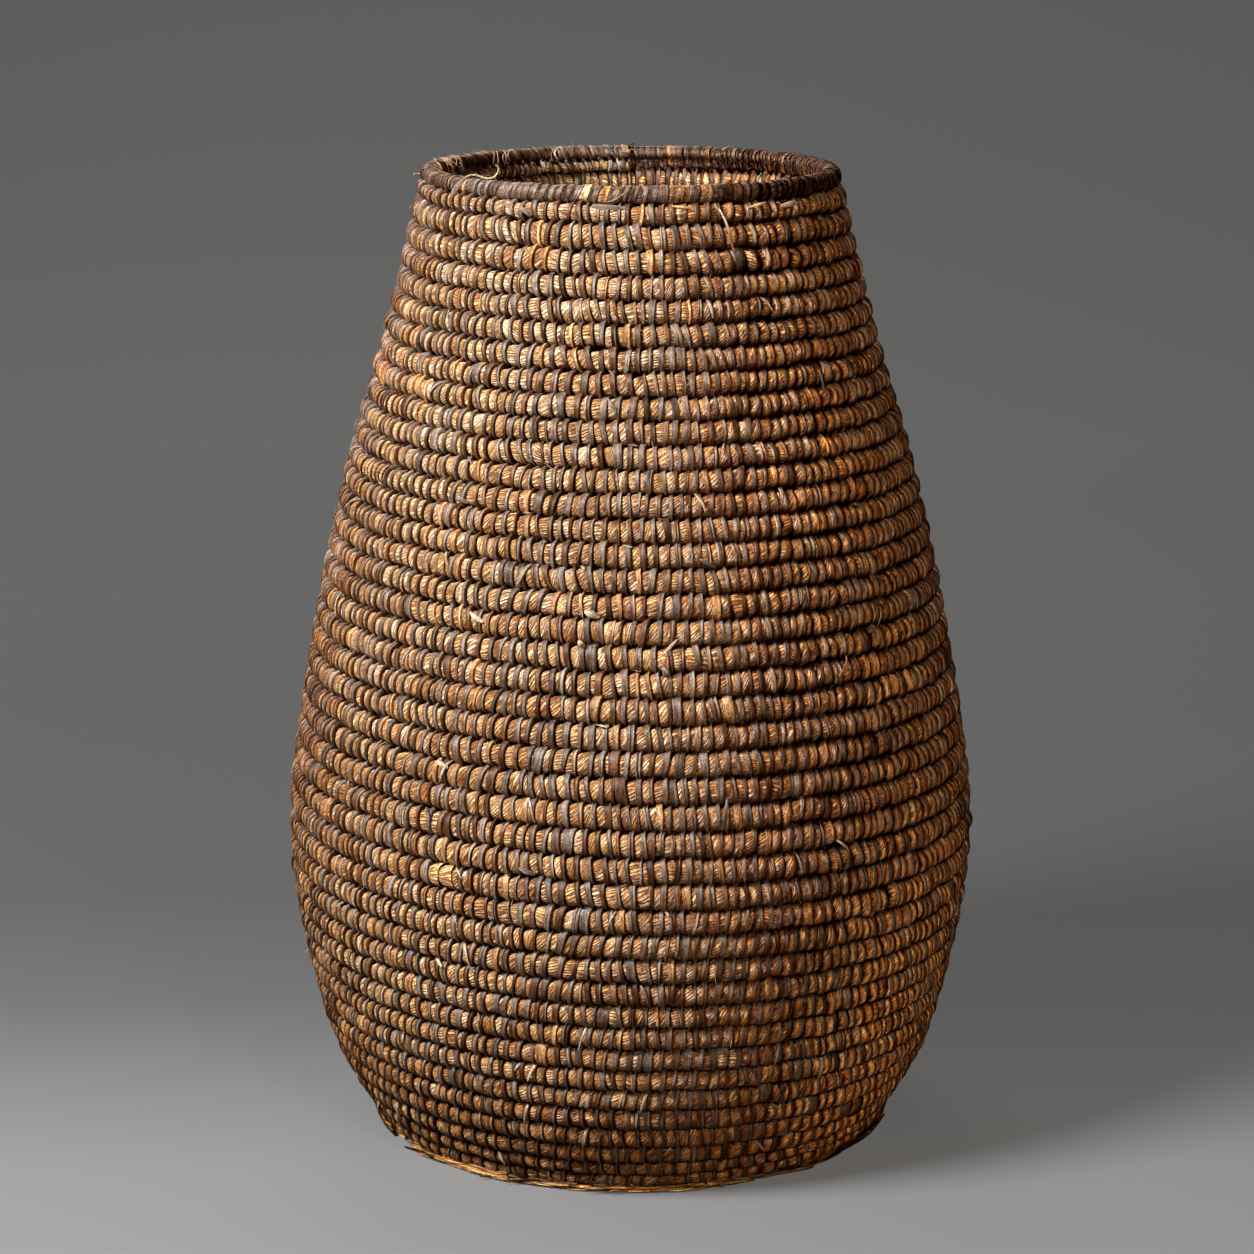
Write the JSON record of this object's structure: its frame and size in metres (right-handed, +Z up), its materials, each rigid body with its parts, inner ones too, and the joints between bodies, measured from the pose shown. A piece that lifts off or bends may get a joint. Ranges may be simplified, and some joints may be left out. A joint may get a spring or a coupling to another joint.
{
  "type": "coiled basket",
  "caption": "Tall pear-shaped coiled straw basket with an open mouth, sewn round upon round with dark splints, standing on a flat straw foot.",
  "frame": {"origin": "middle of the foot's flat underside, on the surface that the basket stands on", "axes": "+Z up through the mouth; -Y is the side that the picture shows; the line where the coil's turns are cut is at +Y"},
  "size_m": [0.3408, 0.3408, 0.4795],
  "materials": {
    "straw_bundle": "dry twisted straw, satin on the crests",
    "dark_splint": "dark weathered splint, dull with a soft sheen",
    "bare_straw": "pale bare straw, dry"
  },
  "bodies": {
    "root": {"base_knot": "straw_bundle", "base_round_01": "straw_bundle", "base_round_02": "straw_bundle", "base_round_03": "straw_bundle", "base_round_04": "straw_bundle", "base_round_05": "straw_bundle", "base_round_06": "straw_bundle", "base_round_07": "straw_bundle", "base_round_08": "straw_bundle", "base_round_09": "straw_bundle", "base_round_10": "straw_bundle", "foot_round": "bare_straw", "wall_round_01": "straw_bundle", "wall_round_02": "straw_bundle", "wall_round_03": "straw_bundle", "wall_round_04": "straw_bundle", "wall_round_05": "straw_bundle", "wall_round_06": "straw_bundle", "wall_round_07": "straw_bundle", "wall_round_08": "straw_bundle", "wall_round_09": "straw_bundle", "wall_round_10": "straw_bundle", "wall_round_11": "straw_bundle", "wall_round_12": "straw_bundle", "wall_round_13": "straw_bundle", "wall_round_14": "straw_bundle", "wall_round_15": "straw_bundle", "wall_round_16": "straw_bundle", "wall_round_17": "straw_bundle", "wall_round_18": "straw_bundle", "wall_round_19": "straw_bundle", "wall_round_20": "straw_bundle", "wall_round_21": "straw_bundle", "wall_round_22": "straw_bundle", "wall_round_23": "straw_bundle", "wall_round_24": "straw_bundle", "wall_round_25": "straw_bundle", "wall_round_26": "straw_bundle", "wall_round_27": "straw_bundle", "wall_round_28": "straw_bundle", "wall_round_29": "straw_bundle", "wall_round_30": "straw_bundle", "wall_round_31": "straw_bundle", "wall_round_32": "straw_bundle", "wall_round_33": "straw_bundle", "wall_round_34": "straw_bundle", "wall_round_35": "straw_bundle", "wall_round_36": "straw_bundle", "wall_round_37": "straw_bundle", "wall_round_38": "straw_bundle", "wall_round_39": "straw_bundle", "wall_round_40": "straw_bundle", "wall_round_41": "straw_bundle", "wall_round_42": "straw_bundle", "rim_round": "dark_splint"}
  },
  "joints": []
}
